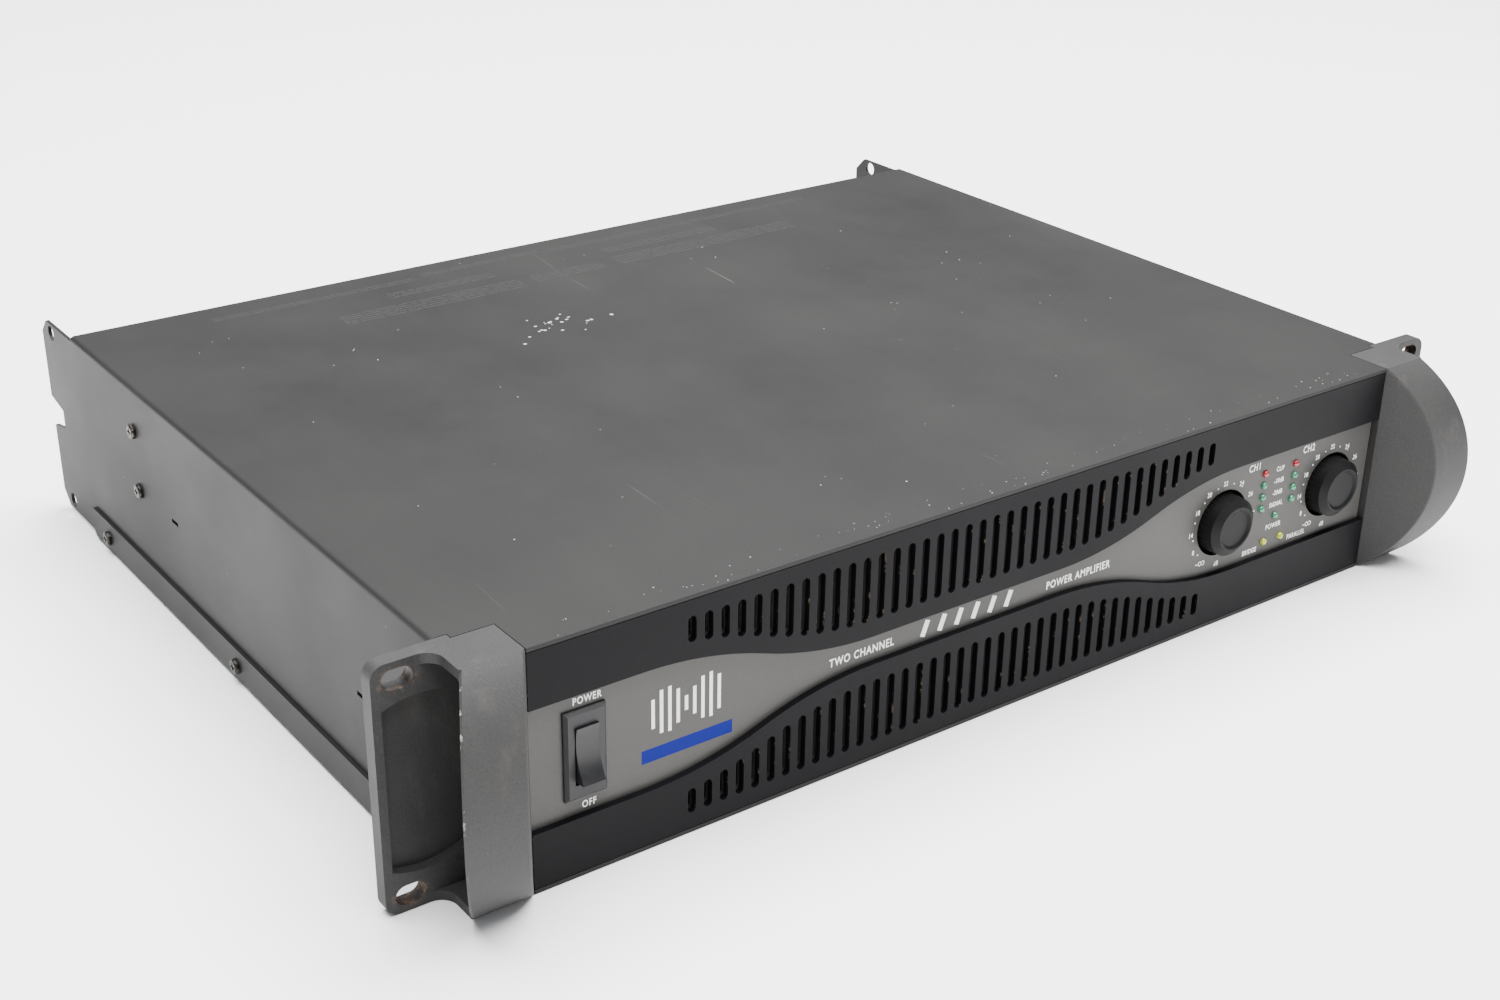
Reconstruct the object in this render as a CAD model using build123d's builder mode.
from build123d import *
import os
from math import cos, pi, radians, sin, sqrt, tan

# Two-channel rack power amplifier, two rack units high, millimetres.
# X runs to the right seen from the front, Y runs back, Z up. The origin is the middle of the
# bounding box's underside.

# ---- driving dimensions: the rack and the case ----
rack_width = 482.6          # across both front ears
rack_height = 88.1          # two rack units less the usual clearance
rack_pitch = 76.2           # between the upper and lower rack bolts
rack_spacing = 465.1        # between the left and right rack bolts
case_width = 437.5          # across the outer faces of the cover's side walls
case_depth = 309.0          # from the rack face to the rear panel's outer face
tail_reach = 35.0           # the rear ears stand this far behind the rear panel
fascia_reach = 15.3         # the black grilles stand this far ahead of the rack face
handle_reach = 36.7         # the handles stand this far ahead of the rack face
sheet = 1.5                 # steel sheet of the case
bend_radius = 2.0           # outer radius of the cover's long bends
seam = 0.3                  # gap between neighbouring sheets and castings

# ---- driving dimensions: fascia ----
grille_thickness = 2.5
waist_half = 5.5            # half height of the grey waist between the grilles
band_half = 22.2            # half height of the grey areas at both ends
wave_inner = 43.0           # the waist is straight this far from its middle
wave_outer = 137.0          # the grilles are narrow from here on
wave_x = -19.8              # middle of the wave and of the vent rows
slot_count = 38
slot_pitch = 6.4
slot_width = 3.2
slot_reach = 36.4           # outer slot ends, from mid height
slot_edge = 6.3             # metal between a slot's inner end and the wave

# ---- driving dimensions: handles ----
casting_inset = 20.55       # inner face of the web, inwards from the case side
wall = 3.5                  # strap and end walls of the casting
web = 3.0                   # flat inner web of the casting
handle_slant = 30.3         # degrees that the strap leans outwards
strap_width = 22.0
strap_round = 1.2           # rounding of the strap's inner long edge
strap_chamfer = 0.8         # chamfer of its outer long edge
ear_thickness = 5.5
ear_corner = 5.0
ear_slot_length = 10.5
ear_slot_width = 7.0
relief_radius = 31.0        # finger relief in the ear
relief_depth = 3.8
relief_rim = 3.0
relief_inset = 6.5          # relief centre, inwards from the rack bolts
hollow_corner = 6.0         # inner corner between the strap's side and the ear
tongue_depth = 3.0          # the top of the casting reaches this far behind the rack face
tongue_inset = 5.75         # ... and is narrower than the case by this much
lug_length = 38.0           # lug inside the side wall, held by the front side screw

# ---- driving dimensions: rear ears of the cover ----
tail_corner = 6.0
notch_depth = 13.0
notch_mouth = 6.7
notch_throat = 4.0
tail_hole_radius = 3.25
tail_hole_inset = 11.2
side_slit_ys = (56.0, 211.0)    # small slits in the side walls, behind the rack face
side_slit_length = 6.0
side_slit_width = 1.6

# ---- driving dimensions: case fasteners ----
flange_height = 14.3        # the bottom pan's flanges outside the cover
flange_screw_start = 31.0   # first flange screw, behind the rack face
flange_screw_end = 22.0     # last flange screw, ahead of the rear panel
flange_screw_z = 7.0
flange_front_gap = 2.0      # between the rack ears and the flanges
flange_rear_gap = 5.4       # from the flanges' rear ends to the rear panel
side_screw_inset = 63.3     # bracket screws, ahead of the rear panel
side_screw_rise = 25.3      # between the two bracket screws
bracket_width = 18.0
bracket_foot = 14.0
bracket_above_screw = 6.0
screw_radius = 1.5
screw_head_radius = 3.0
screw_head_height = 1.8
screw_clearance = 0.2
bracket_screw_length = 5.0
flange_screw_length = 6.0
fan_screw_length = 14.0
board_screw_length = 6.0
small_screw_length = 1.8    # in the connectors' flanges
small_screw_head = 2.7
small_screw_height = 1.5
small_screw_hole = 1.7

# ---- driving dimensions: front controls ----
switch_inset = 41.4         # rocker centre from the case side
switch_width = 15.5
switch_height = 32.0
switch_rim = 2.3            # the switch's front is wider and higher than its body by this much
switch_side = 3.4           # beside the rocker's opening
switch_end = 5.6            # above and below the rocker's opening
switch_proud = 2.0
switch_depth = 24.0
rocker_gap = 0.25
rocker_tilt = 10.0          # degrees either side of the middle
cavity_depth = 13.0         # depth of the rocker's opening behind the grey panel
rocker_end_gap = 0.8        # between the rocker's ends and its opening
rocker_crown = 0.9          # the rocker's middle stands this far ahead of its rim
rocker_skirt = 5.0          # below the pivot
pivot_sink = 1.0            # pivot behind the grey panel's face
pivot_radius = 1.2
pivot_reach = 0.6           # each pin's length outside the rocker's opening
running_gap = 0.05
control_inset = 75.4        # middle between the gain knobs, from the case side
knob_spacing = 62.4
knob_drop = 1.3             # knob centres below mid height
knob_base_radius = 12.4
knob_taper = 0.6            # the knob's front is this much smaller in radius
knob_gap = 1.3              # between the knobs and the panel's openings
knob_proud = 7.4            # knob front ahead of the grey panel
knob_sunk = 6.0             # knob base behind the grey panel
knob_ribs = 36
well_depth = 8.0
well_wall = 1.5
shaft_radius = 3.0
bush_radius = 4.2
pot_size = 17.0
pot_depth = 8.0
bush_length = 6.0
nut_radius = 6.2
nut_height = 2.0
knob_wall = 2.5
knob_groove = 0.6
dimple_radius = 7.2         # dished middle of the knob's front, inside a narrow ring
dimple_depth = 0.9
dimple_rim = 8.3
ring_radius = 9.0
led_radius = 1.5
led_pitch = 5.08
led_column = 8.85           # each level column from the middle between the knobs
led_top_rise = 13.7         # clip lamps above mid height
led_proud = 1.2
led_lead_pitch = 1.3
led_lead = 0.5
power_lamp_drop = 6.5       # below mid height
mode_lamp_drop = 16.9
mode_lamp_half = 4.9        # each mode lamp from the middle between the knobs
board_thickness = 1.6

# ---- driving dimensions: rear connectors ----
fan_x = -10.0
fan_size = 80.0
fan_depth = 25.0
fan_wall = 2.0              # thinnest part of the frame around the bore
fan_hole_inset = 4.25
fan_hub = 17.0
fan_corner = 4.0
fan_screw_hole = 2.1
fan_strut = 4.0
fan_pin_radius = 1.5
fan_tip_gap = 0.8           # between the blade tips and the frame's bore
fan_blades = 7
blade_thickness = 1.6
blade_pitch = 38.0          # degrees
guard_ring_pitch = 7.4
eyelet_radius = 3.6
guard_wire = 1.0            # wire radius of the fan guard
eyelet_thickness = 2.4      # the guard's screw eyelets
inlet_inset = 26.5          # mains inlet from the case side
inlet_width = 24.0
inlet_height = 50.0
well_width = 16.4
well_height = 24.4
inlet_well_depth = 16.0
inlet_wall = 1.8
inlet_screw_half = 20.0     # inlet screws above and below its middle
pin_width = 4.0
pin_thickness = 2.0
pin_gap = 0.1
output_inset = 91.0         # middle between the speaker sockets, from the case side
output_spacing = 45.0
post_spacing = 19.05
socket_rise = 15.0          # upper row of connectors above mid height
post_drop = 21.0            # lower row of connectors below mid height
input_inset = 70.0          # middle between the input sockets, from the case side
input_spacing = 54.0
selector_inset = 138.0      # column of slide switches, from the case side
selector_pitch = 18.0
post_radius = 3.0
cap_radius = 6.2
cap_length = 14.0
cap_gap = 0.4               # between the post bases and the tightened caps
cap_grooves = 12
post_base_radius = 7.0
post_base_height = 4.0
banana_radius = 2.0
jack_radius = 3.2
jack_bush = 5.0
jack_hole = 5.2
jack_depth = 24.0
jack_nut_radius = 8.0
jack_nut_height = 2.5
socket_hole = 12.0
socket_depth = 20.0
socket_flange_width = 26.0
socket_flange_height = 31.0
socket_corner = 2.5
selector_travel = 4.0
selector_depth = 7.0
slider_half = 1.8           # half the size of a slide switch's button
shell_gap = 0.2             # between the sockets' shells and their holes
socket_screw_half = 9.5     # socket flange screws from the socket's axis, across

# ---- driving dimensions: inside ----
standoff_height = 8.0
heatsink_base = 6.0
heatsink_fins = 9
heatsink_middle = 6.0       # from the fin tips to the tunnel's middle
heatsink_front = 32.0       # front of the heatsinks, behind the rack face
heatsink_rear = 62.0        # rear of the heatsinks, ahead of the rear panel
heatsink_fin = 2.0
heatsink_headroom = 2.5
standoff_radius = 3.2
standoff_inset = 8.0        # standoffs from the boards' edges
board_front = 40.0          # fronts of the boards, behind the rack face
board_rear = 55.0           # rears of the boards, ahead of the rear panel
board_side_gap = 12.0       # from the case sides
board_tunnel_gap = 3.0      # from the heatsinks' outer faces
core_length = 64.0
core_depth = 28.0
core_height = 54.0
winding_gap = 0.3
capacitor_radius = 17.0
capacitor_height = 50.0
capacitor_pitch = 38.0
coil_radius = 21.0
coil_bore = 9.0
coil_height = 18.0
device_first = 30.0         # first power device, behind the boards' front edge
device_last = 58.0          # last power device, ahead of the boards' rear edge

# ---- planes and levels worked out from the above ----
overall_depth = handle_reach + case_depth + tail_reach
handle_y = -overall_depth / 2
rack_y = handle_y + handle_reach
fascia_y = rack_y - fascia_reach
panel_y = fascia_y + grille_thickness
rear_y = rack_y + case_depth
tail_y = rear_y + tail_reach
mid_z = rack_height / 2
side_x = case_width / 2
casting_x = side_x - casting_inset
knob_hole_radius = knob_base_radius + knob_gap
knob_front_radius = knob_base_radius - knob_taper
fan_bore = fan_size / 2 - fan_wall
fan_hole_pitch = fan_size - 2 * fan_hole_inset
tongue_x = side_x - tongue_inset
tongue_y = rack_y + tongue_depth
ear_back_y = rack_y + ear_thickness
strap_sagitta = handle_reach - fascia_reach
strap_radius = (strap_sagitta**2 + mid_z**2) / (2 * strap_sagitta)
lean = strap_sagitta * tan(radians(handle_slant))
switch_x = -side_x + switch_inset
control_x = side_x - control_inset
knob_z = mid_z - knob_drop
inlet_x = -side_x + inlet_inset
output_x = -side_x + output_inset
input_x = side_x - input_inset
selector_x = side_x - selector_inset
socket_z = mid_z + socket_rise
post_z = mid_z - post_drop
flange_screw_pitch = (case_depth - flange_screw_start - flange_screw_end) / 2
flange_screw_ys = [rack_y + flange_screw_start + flange_screw_pitch * k for k in range(3)]
bracket_y = rear_y - side_screw_inset
side_screw_zs = (mid_z, mid_z + side_screw_rise)
knob_xs = (control_x - knob_spacing / 2, control_x + knob_spacing / 2)
output_xs = (output_x - output_spacing / 2, output_x + output_spacing / 2)
input_xs = (input_x - input_spacing / 2, input_x + input_spacing / 2)
post_xs = [x + side * post_spacing / 2 for x in output_xs for side in (-1, 1)]
selector_zs = [mid_z + selector_pitch * k for k in (1, 0, -1)]
fan_corners = [(fan_x + i * fan_hole_pitch / 2, mid_z + j * fan_hole_pitch / 2)
               for i in (-1, 1) for j in (-1, 1)]

os.makedirs("parts", exist_ok=True)


def keep(piece, name):
    """Label a finished piece and write it as its own STEP file."""
    piece.part.label = name
    export_step(piece.part, f"parts/{name}.step")


def facing(y):
    """Upright plane across the case; its sketches read X and Z, and a positive extrude goes forward."""
    return Plane(origin=(0, y, 0), x_dir=(1, 0, 0), z_dir=(0, -1, 0))


def block(x, y, z, mode=Mode.ADD):
    """Box between the two limits given along each axis."""
    centre = tuple((low + high) / 2 for low, high in (x, y, z))
    with Locations(centre):
        Box(abs(x[1] - x[0]), abs(y[1] - y[0]), abs(z[1] - z[0]), mode=mode)


def rod(plane, radius, length, mode=Mode.ADD):
    """Round bar or hole that starts on a plane and runs along its normal."""
    with Locations(plane):
        Cylinder(radius, length, align=(Align.CENTER, Align.CENTER, Align.MIN), mode=mode)


def pan_screw(length, shank=screw_radius, head=screw_head_radius, height=screw_head_height):
    """Pan-head screw with a cross recess; its head sits on the XY plane and its shank points down."""
    with BuildPart() as screw:
        Cylinder(head, height, align=(Align.CENTER, Align.CENTER, Align.MIN))
        fillet(screw.edges().group_by(Axis.Z)[-1], height * 0.55)
        Cylinder(shank, length, align=(Align.CENTER, Align.CENTER, Align.MAX))
        with Locations((0, 0, height)):
            Box(head * 1.1, head * 0.27, height, mode=Mode.SUBTRACT)
            Box(head * 0.27, head * 1.1, height, mode=Mode.SUBTRACT)
    return screw.part


def side_face(side, x, y, z):
    """Plane on a side of the case at +-x, with its normal outwards."""
    return Plane(origin=(side * x, y, z), x_dir=(0, 1, 0), z_dir=(side, 0, 0))


def rear_face(x, y, z):
    """Plane on the back of the case, with its normal backwards."""
    return Plane(origin=(x, y, z), x_dir=(-1, 0, 0), z_dir=(0, 1, 0))


def front_face(x, y, z):
    """Plane on the front of the case, with its normal forwards."""
    return Plane(origin=(x, y, z), x_dir=(1, 0, 0), z_dir=(0, -1, 0))


def wave_height(x):
    """Half height of the grey area at x: waist, rising arc, falling arc, full height."""
    span = wave_outer - wave_inner
    rise = band_half - waist_half
    radius = (span**2 + rise**2) / (4 * rise)
    distance = abs(x - wave_x)
    if distance <= wave_inner:
        return waist_half
    if distance <= (wave_inner + wave_outer) / 2:
        return waist_half + radius - sqrt(radius**2 - (distance - wave_inner) ** 2)
    if distance < wave_outer:
        return band_half - radius + sqrt(radius**2 - (wave_outer - distance) ** 2)
    return band_half


slot_xs = [wave_x + (k - (slot_count - 1) / 2) * slot_pitch for k in range(slot_count)]


def cut_vents(side, width):
    """Vent slots of the upper (side 1) or lower (side -1) grille, cut from the sketch in progress."""
    for x in slot_xs:
        inner = wave_height(x) + slot_edge
        with Locations((x, mid_z + side * (inner + slot_reach) / 2)):
            SlotOverall(slot_reach - inner, width, rotation=90, mode=Mode.SUBTRACT)


# ---- top cover: one sheet bent over the top and down both sides, with the rear ears ----
with BuildPart() as top_cover:
    with BuildSketch(facing(fascia_y)) as cover_section:
        with Locations((0, (sheet + rack_height) / 2)):
            Rectangle(case_width, rack_height - sheet)
        fillet(cover_section.vertices().group_by(Axis.Y)[-1], bend_radius)
        with Locations((0, (rack_height - sheet) / 2)):
            Rectangle(case_width - 2 * sheet, rack_height - sheet, mode=Mode.SUBTRACT)
    extrude(amount=fascia_y - rear_y)
    for side in (-1, 1):
        with BuildSketch(Plane.YZ.offset(side * (side_x - sheet / 2))):
            with BuildLine():
                Polyline(
                    (rear_y - sheet, sheet),
                    (tail_y - tail_corner, sheet),
                    (tail_y, sheet + tail_corner),
                    (tail_y, mid_z - notch_mouth),
                    (tail_y - notch_depth, mid_z - notch_throat),
                    (tail_y - notch_depth, mid_z + notch_throat),
                    (tail_y, mid_z + notch_mouth),
                    (tail_y, rack_height - bend_radius - tail_corner),
                    (tail_y - tail_corner, rack_height - bend_radius),
                    (rear_y - sheet, rack_height - bend_radius),
                    close=True,
                )
            make_face()
        extrude(amount=sheet / 2, both=True)
        limits = sorted((side * (casting_x - seam), side * (side_x + 1)))
        block(limits, (fascia_y - 1, tongue_y + seam), (0, rack_height + 1), Mode.SUBTRACT)
        limits = sorted((side * (tongue_x - seam), side * (side_x + 1)))
        block(limits, (fascia_y - 1, ear_back_y + seam), (0, rack_height + 1), Mode.SUBTRACT)
        for y in flange_screw_ys:
            rod(side_face(side, side_x - 2 * sheet, y, flange_screw_z),
                screw_radius + screw_clearance, 3 * sheet, Mode.SUBTRACT)
        for z in side_screw_zs:
            rod(side_face(side, side_x - 2 * sheet, bracket_y, z),
                screw_radius + screw_clearance, 3 * sheet, Mode.SUBTRACT)
        for z in (mid_z - rack_pitch / 2, mid_z + rack_pitch / 2):
            rod(side_face(side, side_x - 2 * sheet, tail_y - tail_hole_inset, z),
                tail_hole_radius, 3 * sheet, Mode.SUBTRACT)
        for y in side_slit_ys:
            block(sorted((side * (side_x - 2 * sheet), side * (side_x + 1))),
                  (rack_y + y - side_slit_length / 2, rack_y + y + side_slit_length / 2),
                  (mid_z - side_slit_width / 2, mid_z + side_slit_width / 2), Mode.SUBTRACT)
keep(top_cover, "top_cover")

# ---- bottom pan: floor with flanges folded up outside the cover ----
pan_x = side_x + sheet
flange_front_y = ear_back_y + flange_front_gap
flange_rear_y = rear_y - flange_rear_gap
with BuildPart() as bottom_pan:
    with BuildSketch(facing(flange_front_y)) as pan_section:
        with Locations((0, flange_height / 2)):
            Rectangle(2 * pan_x, flange_height)
        fillet(pan_section.vertices().group_by(Axis.Y)[0], bend_radius)
        with Locations((0, flange_height / 2 + sheet)):
            Rectangle(2 * side_x, flange_height, mode=Mode.SUBTRACT)
    extrude(amount=flange_front_y - flange_rear_y)
    block((-side_x, side_x), (flange_rear_y - 1, rear_y), (0, sheet))
    block((-tongue_x + seam, tongue_x - seam), (tongue_y + seam, flange_front_y + 1), (0, sheet))
    block((-casting_x + seam, casting_x - seam), (fascia_y, tongue_y + 1), (0, sheet))
    for side in (-1, 1):
        for y in flange_screw_ys:
            rod(side_face(side, side_x - sheet, y, flange_screw_z),
                screw_radius + screw_clearance, 3 * sheet, Mode.SUBTRACT)
keep(bottom_pan, "bottom_pan")

# ---- handle: one casting with a half-moon strap, an inner web, a rack ear and a fixing lug ----
with BuildPart() as right_handle:
    with BuildSketch(Plane.YZ.offset(casting_x)):
        with BuildLine():
            Line((ear_back_y, 0), (fascia_y, 0))
            ThreePointArc((fascia_y, 0), (handle_y, mid_z), (fascia_y, rack_height))
            Line((fascia_y, rack_height), (ear_back_y, rack_height))
            Line((ear_back_y, rack_height), (ear_back_y, 0))
        make_face()
    extrude(amount=rack_width / 2 - casting_x)
    with BuildSketch() as plan:
        with BuildLine():
            Polyline(
                (casting_x, tongue_y),
                (casting_x, fascia_y),
                (casting_x + lean, handle_y),
                (casting_x + lean + strap_width, handle_y),
                (casting_x + strap_width, fascia_y),
                (casting_x + strap_width, rack_y),
                (rack_width / 2, rack_y),
                (rack_width / 2, ear_back_y),
                (tongue_x, ear_back_y),
                (tongue_x, tongue_y),
                close=True,
            )
        make_face()
        fillet(plan.vertices().sort_by_distance((casting_x + strap_width, rack_y))[0], hollow_corner)
    extrude(amount=rack_height, mode=Mode.INTERSECT)
    block((casting_x, tongue_x + 1), (rack_y, ear_back_y), (wall, rack_height - wall))
    lug_x = side_x - sheet - seam
    block((lug_x - wall, lug_x), (rack_y + 1, rack_y + lug_length), (2 * sheet, rack_height - 2 * sheet))
    # The hollow behind the strap, closed on its inner side by the web
    with BuildPart(mode=Mode.PRIVATE) as hollow:
        with BuildSketch(Plane.YZ.offset(casting_x)):
            with BuildLine():
                Line((rack_y + wall, 0), (fascia_y, 0))
                ThreePointArc((fascia_y, 0), (handle_y, mid_z), (fascia_y, rack_height))
                Line((fascia_y, rack_height), (rack_y + wall, rack_height))
                Line((rack_y + wall, rack_height), (rack_y + wall, 0))
            make_face()
            offset(amount=-wall, kind=Kind.INTERSECTION, mode=Mode.REPLACE)
        extrude(amount=rack_width / 2)
        with BuildSketch():
            with BuildLine():
                inner_x = casting_x + web
                skew = web / cos(radians(handle_slant))
                Polyline(
                    (inner_x, rack_y + 1),
                    (inner_x, fascia_y),
                    (casting_x + skew + lean, handle_y),
                    (rack_width, handle_y),
                    (rack_width, rack_y + 1),
                    close=True,
                )
            make_face()
        extrude(amount=rack_height, mode=Mode.INTERSECT)
    add(hollow.part, mode=Mode.SUBTRACT)
    # Finger relief in the ear's face, inside its outer rim
    with BuildSketch(facing(rack_y + relief_depth)):
        with Locations((rack_spacing / 2 - relief_inset, mid_z)):
            Circle(relief_radius)
        rim_x = rack_width / 2 - relief_rim
        with Locations(((casting_x + wall + rim_x) / 2, mid_z)):
            Rectangle(rim_x - casting_x - wall, rack_height, mode=Mode.INTERSECT)
    extrude(amount=relief_depth + 1, mode=Mode.SUBTRACT)
    for z in (mid_z - rack_pitch / 2, mid_z + rack_pitch / 2):
        with BuildSketch(facing(rack_y - 1)):
            with Locations((rack_spacing / 2, z)):
                SlotOverall(ear_slot_length, ear_slot_width)
        extrude(amount=-ear_thickness - 2, mode=Mode.SUBTRACT)
    fillet(right_handle.edges().filter_by(Axis.Y).group_by(Axis.X)[-1], ear_corner)
    strap_rims = right_handle.edges().filter_by(
        lambda edge: edge.bounding_box().min.Y < handle_y + 1 and edge.bounding_box().size.Z > rack_pitch / 2)
    fillet(strap_rims.sort_by(Axis.X)[0], strap_round)
    outer_rim = right_handle.edges().filter_by(
        lambda edge: edge.bounding_box().min.Y < handle_y + 1 and edge.bounding_box().size.Z > rack_pitch / 2)
    chamfer(outer_rim.sort_by(Axis.X)[-1], strap_chamfer)
    rod(side_face(1, lug_x - 2 * wall, flange_screw_ys[0], flange_screw_z),
        screw_radius + screw_clearance, 3 * wall, Mode.SUBTRACT)
    for z in (mid_z - rack_pitch / 3, mid_z + rack_pitch / 3):
        rod(side_face(1, casting_x - 1, rack_y - 4, z), screw_radius + screw_clearance, web + 1,
            Mode.SUBTRACT)
keep(right_handle, "right_handle")

with BuildPart() as left_handle:
    add(mirror(right_handle.part, about=Plane.YZ, mode=Mode.PRIVATE))
keep(left_handle, "left_handle")

# ---- grey front panel: folded sheet behind the grilles, carrying every control ----
panel_half = casting_x - 4 * seam
panel_low = sheet + seam
panel_high = rack_height - sheet - seam
panel_back_y = panel_y + sheet
switch_body_width = switch_width - switch_rim
switch_body_height = switch_height - switch_rim
level_rows = [mid_z + led_top_rise - led_pitch * k for k in range(4)]
column_xs = (control_x - led_column, control_x + led_column)
mode_spots = [(control_x + side * mode_lamp_half, mid_z - mode_lamp_drop) for side in (-1, 1)]
power_spot = (control_x, mid_z - power_lamp_drop)
with BuildPart() as front_panel:
    with BuildSketch(facing(panel_y)):
        with Locations((0, (panel_low + panel_high) / 2)):
            Rectangle(2 * panel_half, panel_high - panel_low)
        cut_vents(1, slot_width + seam)
        cut_vents(-1, slot_width + seam)
        with Locations((switch_x, mid_z)):
            Rectangle(switch_body_width + seam, switch_body_height + seam, mode=Mode.SUBTRACT)
        with Locations(*[(x, knob_z) for x in knob_xs]):
            Circle(knob_hole_radius, mode=Mode.SUBTRACT)
        lamp_spots = [(x, z) for x in column_xs for z in level_rows] + mode_spots + [power_spot]
        with Locations(*lamp_spots):
            Circle(led_radius + 2 * running_gap, mode=Mode.SUBTRACT)
    extrude(amount=-sheet)
    for side in (-1, 1):
        flange = sorted((side * panel_half, side * (panel_half - sheet)))
        block(flange, (panel_y, rack_y), (panel_low, panel_high))
        for z in (mid_z - rack_pitch / 3, mid_z + rack_pitch / 3):
            rod(side_face(side, panel_half - 2 * sheet, rack_y - 4, z),
                screw_radius + screw_clearance, 3 * sheet, Mode.SUBTRACT)
keep(front_panel, "front_panel")


# ---- grilles: the two black bands with the vent slots, cut to the wave ----
def grille(side):
    """Upper (side 1) or lower (side -1) black band, from the wave to the edge of the front."""
    edge = panel_high if side > 0 else panel_low
    half = casting_x - seam
    middle = (wave_inner + wave_outer) / 2
    waist_z = mid_z + side * waist_half
    band_z = mid_z + side * band_half
    turn_z = (waist_z + band_z) / 2
    with BuildPart() as band:
        with BuildSketch(facing(panel_y)):
            with BuildLine():
                Line((-half, edge), (half, edge))
                Line((wave_x - wave_inner, waist_z), (wave_x + wave_inner, waist_z))
                for hand in (-1, 1):
                    start = (wave_x + hand * wave_inner, waist_z)
                    turn = (wave_x + hand * middle, turn_z)
                    end = (wave_x + hand * wave_outer, band_z)
                    TangentArc(start, turn, tangent=(hand, 0))
                    TangentArc(end, turn, tangent=(-hand, 0))
                    Line(end, (hand * half, band_z))
                    Line((hand * half, band_z), (hand * half, edge))
            make_face()
            cut_vents(side, slot_width)
        extrude(amount=grille_thickness)
    return band


upper_grille = grille(1)
keep(upper_grille, "upper_grille")
lower_grille = grille(-1)
keep(lower_grille, "lower_grille")

# ---- rear panel: sheet with side flanges and the cut-outs of every connector ----
rear_inner_y = rear_y - sheet
rear_half = side_x - sheet - seam
with BuildPart() as rear_panel:
    with BuildSketch(facing(rear_inner_y)):
        with Locations((0, (panel_low + panel_high) / 2)):
            Rectangle(2 * rear_half, panel_high - panel_low)
        with Locations((fan_x, mid_z)):
            Circle(fan_bore, mode=Mode.SUBTRACT)
        with Locations(*fan_corners):
            Circle(screw_radius + screw_clearance, mode=Mode.SUBTRACT)
        with Locations((inlet_x, mid_z)):
            Rectangle(well_width + 4, well_height + 4, mode=Mode.SUBTRACT)
        with Locations(*[(x, socket_z) for x in output_xs + input_xs]):
            Circle(socket_hole, mode=Mode.SUBTRACT)
        with Locations(*[(x, post_z) for x in input_xs]):
            Circle(jack_hole, mode=Mode.SUBTRACT)
        with Locations(*[(x, post_z) for x in post_xs]):
            Circle(post_radius + 1.2, mode=Mode.SUBTRACT)
        with Locations(*[(selector_x, z) for z in selector_zs]):
            Rectangle(10, 5, mode=Mode.SUBTRACT)
    extrude(amount=-sheet)
    for side in (-1, 1):
        flange = sorted((side * rear_half, side * (rear_half - sheet)))
        block(flange, (flange_screw_ys[-1] - 6, rear_y), (panel_low, panel_high))
        rod(side_face(side, rear_half - 2 * sheet, flange_screw_ys[-1], flange_screw_z),
            screw_radius + screw_clearance, 3 * sheet, Mode.SUBTRACT)
keep(rear_panel, "rear_panel")

# ---- side brackets: inner angles that the two upper screws on each side hold ----
with BuildPart() as side_brackets:
    for side in (-1, 1):
        upright = sorted((side * rear_half, side * (rear_half - sheet)))
        bracket_ys = (bracket_y - bracket_width / 2, bracket_y + bracket_width / 2)
        block(upright, bracket_ys, (sheet, side_screw_zs[-1] + bracket_above_screw))
        foot = sorted((side * rear_half, side * (rear_half - bracket_foot)))
        block(foot, bracket_ys, (sheet, 2 * sheet))
        for z in side_screw_zs:
            rod(side_face(side, rear_half - 2 * sheet, bracket_y, z),
                screw_radius + screw_clearance, 3 * sheet, Mode.SUBTRACT)
keep(side_brackets, "side_brackets")

# ---- case screws ----
with BuildPart() as case_screws:
    for side in (-1, 1):
        with Locations(*[side_face(side, side_x, bracket_y, z) for z in side_screw_zs]):
            add(pan_screw(bracket_screw_length))
        with Locations(*[side_face(side, pan_x, y, flange_screw_z) for y in flange_screw_ys]):
            add(pan_screw(flange_screw_length))
keep(case_screws, "case_screws")

with BuildPart() as handle_screws:
    for side in (-1, 1):
        for z in (mid_z - rack_pitch / 3, mid_z + rack_pitch / 3):
            with Locations(side_face(-side, -(panel_half - sheet), rack_y - 4, z)):
                add(pan_screw(sheet + 3.5 * seam + web - 0.5))
keep(handle_screws, "handle_screws")

# ---- power switch: snap-in body with a rim, the rocker on its pins, and the terminals ----
opening_width = switch_width - 2 * switch_side
opening_height = switch_height - 2 * switch_end
pivot_y = panel_y + pivot_sink
with BuildPart() as power_switch_body:
    block((switch_x - switch_width / 2, switch_x + switch_width / 2), (panel_y - switch_proud, panel_y),
          (mid_z - switch_height / 2, mid_z + switch_height / 2))
    front_edges = power_switch_body.faces().sort_by(Axis.Y)[0].edges()
    chamfer(front_edges, 1.1)
    block((switch_x - switch_body_width / 2, switch_x + switch_body_width / 2),
          (panel_y, panel_y + switch_depth),
          (mid_z - switch_body_height / 2, mid_z + switch_body_height / 2))
    block((switch_x - opening_width / 2, switch_x + opening_width / 2),
          (panel_y - switch_proud - 1, panel_y + cavity_depth),
          (mid_z - opening_height / 2, mid_z + opening_height / 2), Mode.SUBTRACT)
    bore_half = opening_width / 2 + pivot_reach + running_gap
    rod(side_face(1, switch_x - bore_half, pivot_y, mid_z), pivot_radius + running_gap,
        2 * bore_half, Mode.SUBTRACT)
keep(power_switch_body, "power_switch_body")

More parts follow.
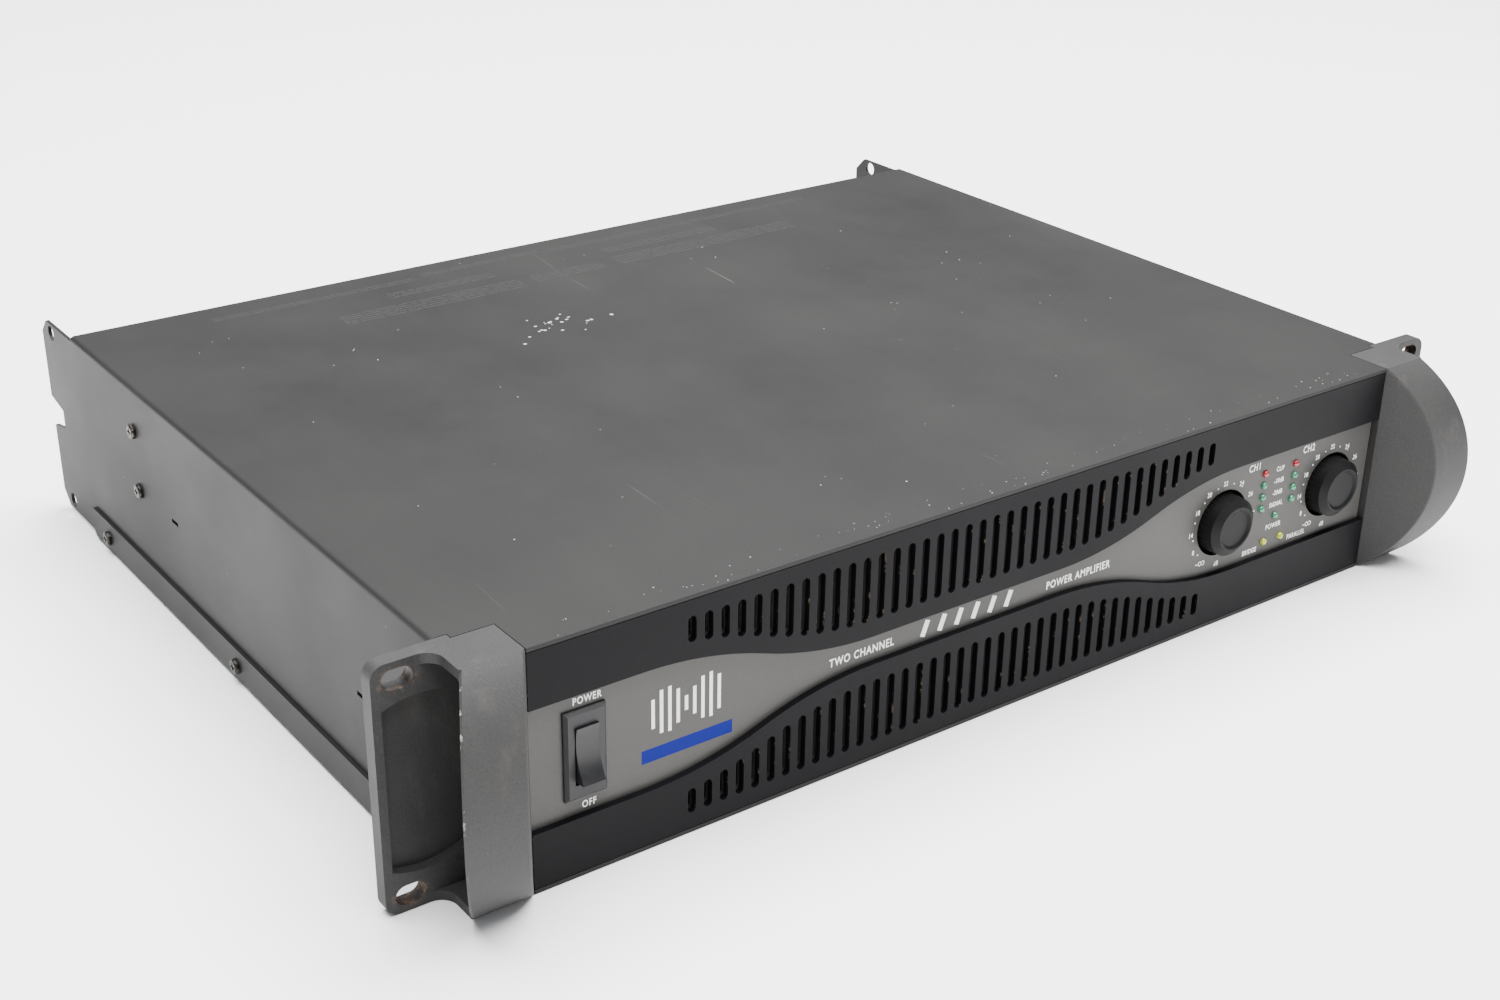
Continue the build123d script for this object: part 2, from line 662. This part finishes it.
rocker_half = opening_height / 2 - rocker_end_gap
with BuildPart() as rocker_shape:
    with BuildSketch(Plane.YZ.offset(switch_x - opening_width / 2 + rocker_gap)):
        with BuildLine():
            crest = panel_y - switch_proud - 1.6
            Line((pivot_y + rocker_skirt, -rocker_half * 0.62), (pivot_y + 1, -rocker_half))
            Line((pivot_y + 1, -rocker_half), (crest - 1.2, -rocker_half))
            ThreePointArc((crest - 1.2, -rocker_half), (crest + rocker_crown, 0), (crest - 1.2, rocker_half))
            Line((crest - 1.2, rocker_half), (pivot_y + 1, rocker_half))
            Line((pivot_y + 1, rocker_half), (pivot_y + rocker_skirt, rocker_half * 0.62))
            Line((pivot_y + rocker_skirt, rocker_half * 0.62), (pivot_y + rocker_skirt, -rocker_half * 0.62))
        make_face()
    extrude(amount=opening_width - 2 * rocker_gap)
    pin_start = -opening_width / 2 - pivot_reach
    rod(Plane(origin=(switch_x + pin_start, pivot_y, 0), z_dir=(1, 0, 0)), pivot_radius,
        -2 * pin_start)
# The rocker rests with its upper end pressed in
pivot = Axis((switch_x, pivot_y, 0), (1, 0, 0))
tilted = rocker_shape.part.rotate(pivot, -rocker_tilt)
with BuildPart() as power_rocker:
    add(tilted.moved(Location((0, 0, mid_z))))
keep(power_rocker, "power_rocker")

with BuildPart() as switch_terminals:
    for i in (-1, 1):
        for j in (-1, 1):
            x = switch_x + i * 3.2
            z = mid_z + j * 8
            block((x - 0.4, x + 0.4), (panel_y + switch_depth, panel_y + switch_depth + 8), (z - 3, z + 3))
keep(switch_terminals, "switch_terminals")

# ---- gain controls: wells behind the panel, pots, nuts, shafts and ribbed knobs ----
well_floor_y = panel_back_y + well_depth
pot_front_y = well_floor_y + well_wall
pot_back_y = pot_front_y + pot_depth
with BuildPart() as knob_wells:
    for x in knob_xs:
        rod(front_face(x, pot_front_y, knob_z), knob_hole_radius + well_wall, well_depth + well_wall)
        rod(front_face(x, well_floor_y, knob_z), knob_hole_radius, well_depth, Mode.SUBTRACT)
        rod(front_face(x, pot_front_y, knob_z), bush_radius + running_gap, well_wall, Mode.SUBTRACT)
keep(knob_wells, "knob_wells")

bush_front_y = pot_front_y - bush_length
with BuildPart() as gain_pots:
    for x in knob_xs:
        block((x - pot_size / 2, x + pot_size / 2), (pot_front_y, pot_back_y),
              (knob_z - pot_size / 2, knob_z + pot_size / 2))
        rod(front_face(x, pot_front_y, knob_z), bush_radius, pot_front_y - bush_front_y)
        rod(front_face(x, pot_back_y - 2, knob_z), shaft_radius + running_gap,
            pot_back_y - bush_front_y, Mode.SUBTRACT)
keep(gain_pots, "gain_pots")

with BuildPart() as pot_nuts:
    with BuildSketch(facing(well_floor_y)):
        with Locations(*[(x, knob_z) for x in knob_xs]):
            RegularPolygon(nut_radius, 6)
            Circle(bush_radius + running_gap, mode=Mode.SUBTRACT)
    extrude(amount=nut_height)
keep(pot_nuts, "pot_nuts")

knob_base_y = panel_y + knob_sunk
knob_edge_y = panel_y - knob_proud + 2.2
knob_front_y = panel_y - knob_proud
knob_roof_y = bush_front_y - 0.8
shaft_tip_y = panel_y - knob_proud + 3.5
for number, x in enumerate(knob_xs, 1):
    with BuildPart() as gain_shaft:
        rod(front_face(x, pot_back_y - 2.3, knob_z), shaft_radius, pot_back_y - 2.3 - shaft_tip_y)
    keep(gain_shaft, f"gain_shaft_{number}")
    with BuildPart() as gain_knob:
        with BuildSketch(Plane(origin=(x, 0, knob_z), x_dir=(1, 0, 0), z_dir=(0, 0, 1))):
            with BuildLine():
                Polyline(
                    (shaft_radius, shaft_tip_y),
                    (0, shaft_tip_y),
                    (0, knob_front_y + dimple_depth),
                    (dimple_radius, knob_front_y + dimple_depth),
                    (dimple_rim, knob_front_y),
                    (ring_radius, knob_front_y),
                    (knob_front_radius, knob_edge_y),
                    (knob_base_radius, knob_base_y),
                    (knob_base_radius - knob_wall, knob_base_y),
                    (knob_base_radius - knob_wall, knob_roof_y),
                    (shaft_radius, knob_roof_y),
                    close=True,
                )
            make_face()
        revolve(axis=Axis((x, 0, knob_z), (0, 1, 0)))
        for k in range(knob_ribs):
            angle = radians(360 * (k + 0.5) / knob_ribs)
            groove_x = x + (knob_base_radius + 0.1) * cos(angle)
            groove_z = knob_z + (knob_base_radius + 0.1) * sin(angle)
            rod(front_face(groove_x, knob_base_y + 1, groove_z), knob_groove, knob_base_y + 1 - knob_edge_y,
                Mode.SUBTRACT)
    keep(gain_knob, f"gain_knob_{number}")


# ---- lamps on the control board behind the grey panel ----
def lamps(spots):
    """Domed round lamps on two leads each, standing a little proud of the grey panel."""
    with BuildPart() as group:
        for x, z in spots:
            rod(front_face(x, panel_y + 4, z), led_radius, 4 + led_proud - led_radius * 0.8)
            dome_y = panel_y - led_proud + led_radius * 0.8
            with Locations((x, dome_y, z)):
                Sphere(led_radius)
            for lead_x in (x - led_lead_pitch / 2, x + led_lead_pitch / 2):
                block((lead_x - led_lead / 2, lead_x + led_lead / 2), (panel_y + 3, pot_back_y),
                      (z - led_lead / 2, z + led_lead / 2))
    return group


clip_lamps = lamps([(x, level_rows[0]) for x in column_xs])
keep(clip_lamps, "clip_lamps")
level_lamps = lamps([(x, z) for x in column_xs for z in level_rows[1:]])
keep(level_lamps, "level_lamps")
power_lamp = lamps([power_spot])
keep(power_lamp, "power_lamp")
mode_lamps = lamps(mode_spots)
keep(mode_lamps, "mode_lamps")

with BuildPart() as control_board:
    block((knob_xs[0] - 17, knob_xs[1] + 17), (pot_back_y, pot_back_y + board_thickness),
          (mid_z - 32, mid_z + 30))
keep(control_board, "control_board")

# ---- fan: frame with struts, rotor on its pin, wire guard and screws ----
fan_front_y = rear_inner_y - fan_depth
with BuildPart() as fan_frame:
    block((fan_x - fan_size / 2, fan_x + fan_size / 2), (fan_front_y, rear_inner_y),
          (mid_z - fan_size / 2, mid_z + fan_size / 2))
    fillet(fan_frame.edges().filter_by(Axis.Y), fan_corner)
    rod(front_face(fan_x, rear_inner_y, mid_z), fan_bore, fan_depth, Mode.SUBTRACT)
    for x, z in fan_corners:
        rod(front_face(x, rear_inner_y, z), fan_screw_hole, fan_depth, Mode.SUBTRACT)
    rod(rear_face(fan_x, fan_front_y, mid_z), fan_hub + 1, 4)
    strut_y = (fan_front_y, fan_front_y + 3)
    strut_half = fan_strut / 2
    block((fan_x - fan_bore - 1, fan_x + fan_bore + 1), strut_y, (mid_z - strut_half, mid_z + strut_half))
    block((fan_x - strut_half, fan_x + strut_half), strut_y, (mid_z - fan_bore - 1, mid_z + fan_bore + 1))
    rod(rear_face(fan_x, fan_front_y + 3, mid_z), fan_pin_radius, 12)
keep(fan_frame, "fan_frame")

rotor_depth = fan_depth - 7
rotor_mid_y = fan_front_y + 5 + rotor_depth / 2
with BuildPart() as fan_rotor:
    with Locations(Plane(origin=(fan_x, rotor_mid_y, mid_z), x_dir=(1, 0, 0), z_dir=(0, 1, 0))):
        with PolarLocations(fan_bore - 11, fan_blades):
            Box(24, blade_thickness, rotor_depth * 1.15, rotation=(blade_pitch, 0, 0))
        Cylinder(fan_bore - fan_tip_gap, rotor_depth, mode=Mode.INTERSECT)
        Cylinder(fan_hub, rotor_depth)
    rod(rear_face(fan_x, rotor_mid_y - rotor_depth, mid_z), fan_pin_radius + running_gap, rotor_depth + 5,
        Mode.SUBTRACT)
keep(fan_rotor, "fan_rotor")

guard_y = rear_y + eyelet_thickness / 2
with BuildPart() as fan_guard:
    with Locations(Plane(origin=(fan_x, guard_y + 1.6, mid_z), z_dir=(0, 1, 0))):
        for k in range(5):
            Torus(fan_bore + 0.5 - guard_ring_pitch * k, guard_wire)
    reach = sqrt(2) * fan_hole_pitch / 2
    for turn in (45, -45):
        spoke = Plane(origin=(fan_x, guard_y, mid_z), x_dir=(0, 1, 0),
                      z_dir=(cos(radians(turn)), 0, sin(radians(turn))))
        with Locations(spoke):
            Cylinder(guard_wire, 2 * reach)
    for x, z in fan_corners:
        rod(rear_face(x, rear_y, z), eyelet_radius, eyelet_thickness)
        rod(rear_face(x, rear_y - 1, z), screw_radius + screw_clearance, 5, Mode.SUBTRACT)
keep(fan_guard, "fan_guard")

with BuildPart() as fan_screws:
    with Locations(*[rear_face(x, rear_y + eyelet_thickness, z) for x, z in fan_corners]):
        add(pan_screw(fan_screw_length))
keep(fan_screws, "fan_screws")

# ---- balanced input sockets with their latch tabs ----
flange_zs = (socket_z - socket_flange_height / 2, socket_z + socket_flange_height / 2)
with BuildPart() as input_sockets:
    for x in input_xs:
        block((x - socket_flange_width / 2, x + socket_flange_width / 2), (rear_y, rear_y + 2), flange_zs)
    fillet(input_sockets.edges().filter_by(Axis.Y), socket_corner)
    for x in input_xs:
        rod(front_face(x, rear_y, socket_z), socket_hole - shell_gap, socket_depth)
        rod(front_face(x, rear_y + 3, socket_z), 9.6, 17, Mode.SUBTRACT)
        rod(rear_face(x, rear_y - 15, socket_z), 7.6, 16)
        with Locations(rear_face(x, rear_y + 1, socket_z)):
            with PolarLocations(4.0, 3, start_angle=-90):
                Cylinder(1.3, 16, mode=Mode.SUBTRACT)
        block((x - 3.8, x + 3.8), (rear_y - 4, rear_y + 3), (socket_z + 8.2, socket_z + 13.6), Mode.SUBTRACT)
        for i in (-1, 1):
            rod(rear_face(x + i * socket_screw_half, rear_y - 1, socket_z + i * 12), small_screw_hole, 5,
                Mode.SUBTRACT)
keep(input_sockets, "input_sockets")

for number, x in enumerate(input_xs, 1):
    with BuildPart() as latch_tab:
        block((x - 3.5, x + 3.5), (rear_y + seam, rear_y + 4.2), (socket_z + 10.2, socket_z + 13.2))
        fillet(latch_tab.faces().sort_by(Axis.Y)[-1].edges(), 0.8)
        block((x - 3.5, x + 3.5), (rear_y - 3.5, rear_y + 2), (socket_z + 9.6, socket_z + 11.2))
    keep(latch_tab, f"latch_tab_{number}")

with BuildPart() as jack_sockets:
    for x in input_xs:
        block((x - 9, x + 9), (rear_inner_y - jack_depth, rear_inner_y), (post_z - 8, post_z + 8))
        rod(rear_face(x, rear_inner_y, post_z), jack_bush, sheet + 2 * jack_nut_height)
        rod(rear_face(x, rear_inner_y - jack_depth + 2, post_z), jack_radius, 40, Mode.SUBTRACT)
keep(jack_sockets, "jack_sockets")

with BuildPart() as jack_nuts:
    with BuildSketch(facing(rear_y + jack_nut_height)):
        with Locations(*[(x, post_z) for x in input_xs]):
            RegularPolygon(jack_nut_radius, 6)
            Circle(jack_bush + running_gap, mode=Mode.SUBTRACT)
    extrude(amount=jack_nut_height)
keep(jack_nuts, "jack_nuts")

# ---- slide switches for the operating mode and the two limiters ----
with BuildPart() as selector_bodies:
    for z in selector_zs:
        block((selector_x - 9, selector_x + 9), (rear_inner_y - selector_depth, rear_inner_y), (z - 4, z + 4))
        block((selector_x - 4.6, selector_x + 4.6), (rear_inner_y - 3, rear_y), (z - 2.1, z + 2.1),
              Mode.SUBTRACT)
keep(selector_bodies, "selector_bodies")

for name, z in zip(("mode_slider", "limiter_slider_1", "limiter_slider_2"), selector_zs):
    start = selector_x - selector_travel / 2
    with BuildPart() as slider:
        block((start - slider_half, start + slider_half), (rear_inner_y - 2.7, rear_y + slider_half),
              (z - slider_half, z + slider_half))
        chamfer(slider.faces().sort_by(Axis.Y)[-1].edges().filter_by(Axis.Z), 0.5)
    keep(slider, name)

# ---- twist-lock speaker sockets and binding posts ----
with BuildPart() as speaker_sockets:
    for x in output_xs:
        block((x - socket_flange_width / 2, x + socket_flange_width / 2), (rear_y, rear_y + 2.5), flange_zs)
    fillet(speaker_sockets.edges().filter_by(Axis.Y), socket_corner)
    for x in output_xs:
        rod(rear_face(x, rear_y + 2.5, socket_z), 12.4, 2)
        rod(front_face(x, rear_y, socket_z), socket_hole - shell_gap, 22)
        rod(front_face(x, rear_y + 5, socket_z), 10.6, 25, Mode.SUBTRACT)
        rod(rear_face(x, rear_y - 21, socket_z), 7.2, 22)
        for i in (-1, 1):
            rod(rear_face(x + i * socket_screw_half, rear_y - 1, socket_z + i * 12), small_screw_hole, 5,
                Mode.SUBTRACT)
            block((x + i * 8 - 1.4, x + i * 8 + 1.4), (rear_y - 20, rear_y + 1),
                  (socket_z - 1, socket_z + 1))
keep(speaker_sockets, "speaker_sockets")

with BuildPart() as post_bases:
    for x in post_xs:
        rod(rear_face(x, rear_y, post_z), post_base_radius, post_base_height)
        rod(front_face(x, rear_y, post_z), post_radius + 1.1, sheet)
        rod(front_face(x, rear_inner_y, post_z), 6, 3)
        rod(rear_face(x, rear_y - 10, post_z), post_radius + running_gap, 20, Mode.SUBTRACT)
keep(post_bases, "post_bases")

with BuildPart() as post_studs:
    for x in post_xs:
        rod(rear_face(x, rear_y - 14, post_z), post_radius, 14 + post_base_height + cap_gap + cap_length)
        rod(rear_face(x, rear_y + post_base_height, post_z), banana_radius, cap_length + 5, Mode.SUBTRACT)
keep(post_studs, "post_studs")

for number, x in enumerate(post_xs, 1):
    with BuildPart() as post_cap:
        cap_y = rear_y + post_base_height + cap_gap
        rod(rear_face(x, cap_y, post_z), cap_radius, cap_length)
        chamfer(post_cap.edges().group_by(Axis.Y)[-1], 1)
        for k in range(cap_grooves):
            angle = 2 * pi * k / cap_grooves
            rod(rear_face(x + cap_radius * cos(angle), cap_y + 3, post_z + cap_radius * sin(angle)),
                0.8, cap_length, Mode.SUBTRACT)
        rod(rear_face(x, rear_y, post_z), post_radius + running_gap, 2 * cap_length, Mode.SUBTRACT)
    keep(post_cap, f"post_cap_{number}")

# ---- mains inlet with its three pins ----
with BuildPart() as mains_inlet:
    block((inlet_x - inlet_width / 2, inlet_x + inlet_width / 2), (rear_y, rear_y + 3),
          (mid_z - inlet_height / 2, mid_z + inlet_height / 2))
    fillet(mains_inlet.edges().filter_by(Axis.Y), 5)
    block((inlet_x - well_width / 2 - inlet_wall, inlet_x + well_width / 2 + inlet_wall), (rear_y - 17, rear_y),
          (mid_z - well_height / 2 - inlet_wall, mid_z + well_height / 2 + inlet_wall))
    block((inlet_x - well_width / 2, inlet_x + well_width / 2),
          (rear_y + 3 - inlet_well_depth, rear_y + 4),
          (mid_z - well_height / 2, mid_z + well_height / 2), Mode.SUBTRACT)
    for j in (-1, 1):
        rod(rear_face(inlet_x, rear_y - 1, mid_z + j * inlet_screw_half), small_screw_hole, 5, Mode.SUBTRACT)
    pin_spots = [(inlet_x + 2, mid_z - 7), (inlet_x + 2, mid_z + 7), (inlet_x - 2, mid_z)]
    for x, z in pin_spots:
        block((x - pin_width / 2 - pin_gap, x + pin_width / 2 + pin_gap), (rear_y - 20, rear_y),
              (z - pin_thickness / 2 - pin_gap, z + pin_thickness / 2 + pin_gap), Mode.SUBTRACT)
keep(mains_inlet, "mains_inlet")

with BuildPart() as inlet_pins:
    for x, z in pin_spots:
        block((x - pin_width / 2, x + pin_width / 2), (rear_y - 25, rear_y + 1),
              (z - pin_thickness / 2, z + pin_thickness / 2))
keep(inlet_pins, "inlet_pins")

with BuildPart() as connector_screws:
    screw_faces = [rear_face(x + i * socket_screw_half, rear_y + 2, socket_z + i * 12)
                   for x in input_xs for i in (-1, 1)]
    screw_faces += [rear_face(x + i * socket_screw_half, rear_y + 2.5, socket_z + i * 12)
                    for x in output_xs for i in (-1, 1)]
    screw_faces += [rear_face(inlet_x, rear_y + 3, mid_z + j * inlet_screw_half) for j in (-1, 1)]
    with Locations(*screw_faces):
        add(pan_screw(small_screw_length, head=small_screw_head, height=small_screw_height))
keep(connector_screws, "connector_screws")

# ---- heatsinks: two finned extrusions that form the fan's wind tunnel ----
sink_y = (rack_y + heatsink_front, rear_y - heatsink_rear)
sink_high = rack_height - sheet - heatsink_headroom
fin_pitch = (sink_high - sheet - heatsink_fin) / (heatsink_fins - 1)
with BuildPart() as heatsinks:
    for side in (-1, 1):
        base_x = fan_x + side * (fan_size / 2 + heatsink_base)
        block(sorted((base_x, base_x - side * heatsink_base)), sink_y, (sheet, sink_high))
        for k in range(heatsink_fins):
            fin_z = sheet + k * fin_pitch
            fin_x = fan_x + side * heatsink_middle
            block(sorted((base_x - side, fin_x)), sink_y, (fin_z, fin_z + heatsink_fin))
keep(heatsinks, "heatsinks")

# ---- circuit boards on standoffs either side of the tunnel ----
board_low = sheet + standoff_height
board_high = board_low + board_thickness
board_y = (rack_y + board_front, rear_y - board_rear)
tunnel_half = fan_size / 2 + heatsink_base
power_board_x = (-side_x + board_side_gap, fan_x - tunnel_half - board_tunnel_gap)
channel_board_x = (fan_x + tunnel_half + board_tunnel_gap, side_x - board_side_gap)


def standoffs_under(board):
    """The four standoff places under a board with these X limits."""
    return [(x, y) for x in (board[0] + standoff_inset, board[1] - standoff_inset)
            for y in (board_y[0] + standoff_inset, board_y[1] - standoff_inset)]


standoff_spots = standoffs_under(power_board_x) + standoffs_under(channel_board_x)
for name, limits in (("power_board", power_board_x), ("channel_board", channel_board_x)):
    with BuildPart() as board:
        block(limits, board_y, (board_low, board_high))
        for x, y in standoffs_under(limits):
            rod(Plane(origin=(x, y, board_low - 1)), screw_radius + screw_clearance,
                board_thickness + 2, Mode.SUBTRACT)
    keep(board, name)

with BuildPart() as board_standoffs:
    for x, y in standoff_spots:
        rod(Plane(origin=(x, y, sheet)), standoff_radius, standoff_height)
        rod(Plane(origin=(x, y, sheet)), screw_radius + screw_clearance, standoff_height, Mode.SUBTRACT)
keep(board_standoffs, "board_standoffs")

with BuildPart() as board_screws:
    with Locations(*[(x, y, board_high) for x, y in standoff_spots]):
        add(pan_screw(board_screw_length))
keep(board_screws, "board_screws")

# ---- power devices clamped to the outer faces of the heatsinks ----
device_pitch = (board_y[1] - board_y[0] - device_first - device_last) / 3
with BuildPart() as power_transistors:
    for side in (-1, 1):
        face_x = fan_x + side * tunnel_half
        for k in range(4):
            y = board_y[0] + device_first + device_pitch * k
            block(sorted((face_x, face_x + side * 5)), (y - 8, y + 8), (26, 47))
            for lead in (-5.4, 0, 5.4):
                block(sorted((face_x + side * 4, face_x + side * 4.8)), (y + lead - 0.6, y + lead + 0.6),
                      (board_high, 26.5))
keep(power_transistors, "power_transistors")

# ---- supply parts on the power board ----
core_x = (power_board_x[0] + power_board_x[1]) / 2
core_y = board_y[0] + 50
core_z = board_high + 4
with BuildPart() as transformer_core:
    block((core_x - core_length / 2, core_x + core_length / 2),
          (core_y - core_depth / 2, core_y + core_depth / 2), (core_z, core_z + core_height))
    for side in (-1, 1):
        block((core_x + side * 16.5 - 6, core_x + side * 16.5 + 6), (core_y - 15, core_y + 15),
              (core_z + 9, core_z + 45), Mode.SUBTRACT)
keep(transformer_core, "transformer_core")

with BuildPart() as transformer_winding:
    block((core_x - 22, core_x + 22), (core_y - 24, core_y + 24), (core_z + 9.3, core_z + 44.7))
    fillet(transformer_winding.edges().filter_by(Axis.Z), 6)
    clear_y = (core_y - core_depth / 2 - winding_gap, core_y + core_depth / 2 + winding_gap)
    block((core_x - 10.5 - winding_gap, core_x + 10.5 + winding_gap), clear_y, (core_z, core_z + core_height),
          Mode.SUBTRACT)
    for i in (-1, 1):
        for j in (-1, 1):
            rod(Plane(origin=(core_x + i * 14, core_y + j * 20, board_high)), 2.5, 14)
keep(transformer_winding, "transformer_winding")

with BuildPart() as reservoir_capacitors:
    with Locations((core_x, (core_y + 24 + board_y[1]) / 2, board_high)):
        with GridLocations(capacitor_pitch, capacitor_pitch, 3, 2):
            Cylinder(capacitor_radius, capacitor_height, align=(Align.CENTER, Align.CENTER, Align.MIN))
    fillet(reservoir_capacitors.edges().group_by(Axis.Z)[-1], 1.5)
keep(reservoir_capacitors, "reservoir_capacitors")

# ---- output inductors on the channel board ----
coil_x = (channel_board_x[0] + channel_board_x[1]) / 2
with BuildPart() as output_inductors:
    for y in (board_y[0] + 60, board_y[0] + 130):
        with Locations((coil_x, y, board_high)):
            Cylinder(coil_radius, coil_height, align=(Align.CENTER, Align.CENTER, Align.MIN))
            Cylinder(coil_bore, coil_height, align=(Align.CENTER, Align.CENTER, Align.MIN), mode=Mode.SUBTRACT)
keep(output_inductors, "output_inductors")

# ---- input board standing behind the input sockets ----
input_board_y = rear_inner_y - jack_depth - board_thickness
with BuildPart() as input_board:
    block((input_xs[0] - 22, input_xs[1] + 20), (input_board_y, input_board_y + board_thickness),
          (mid_z - 34, mid_z + 34))
keep(input_board, "input_board")
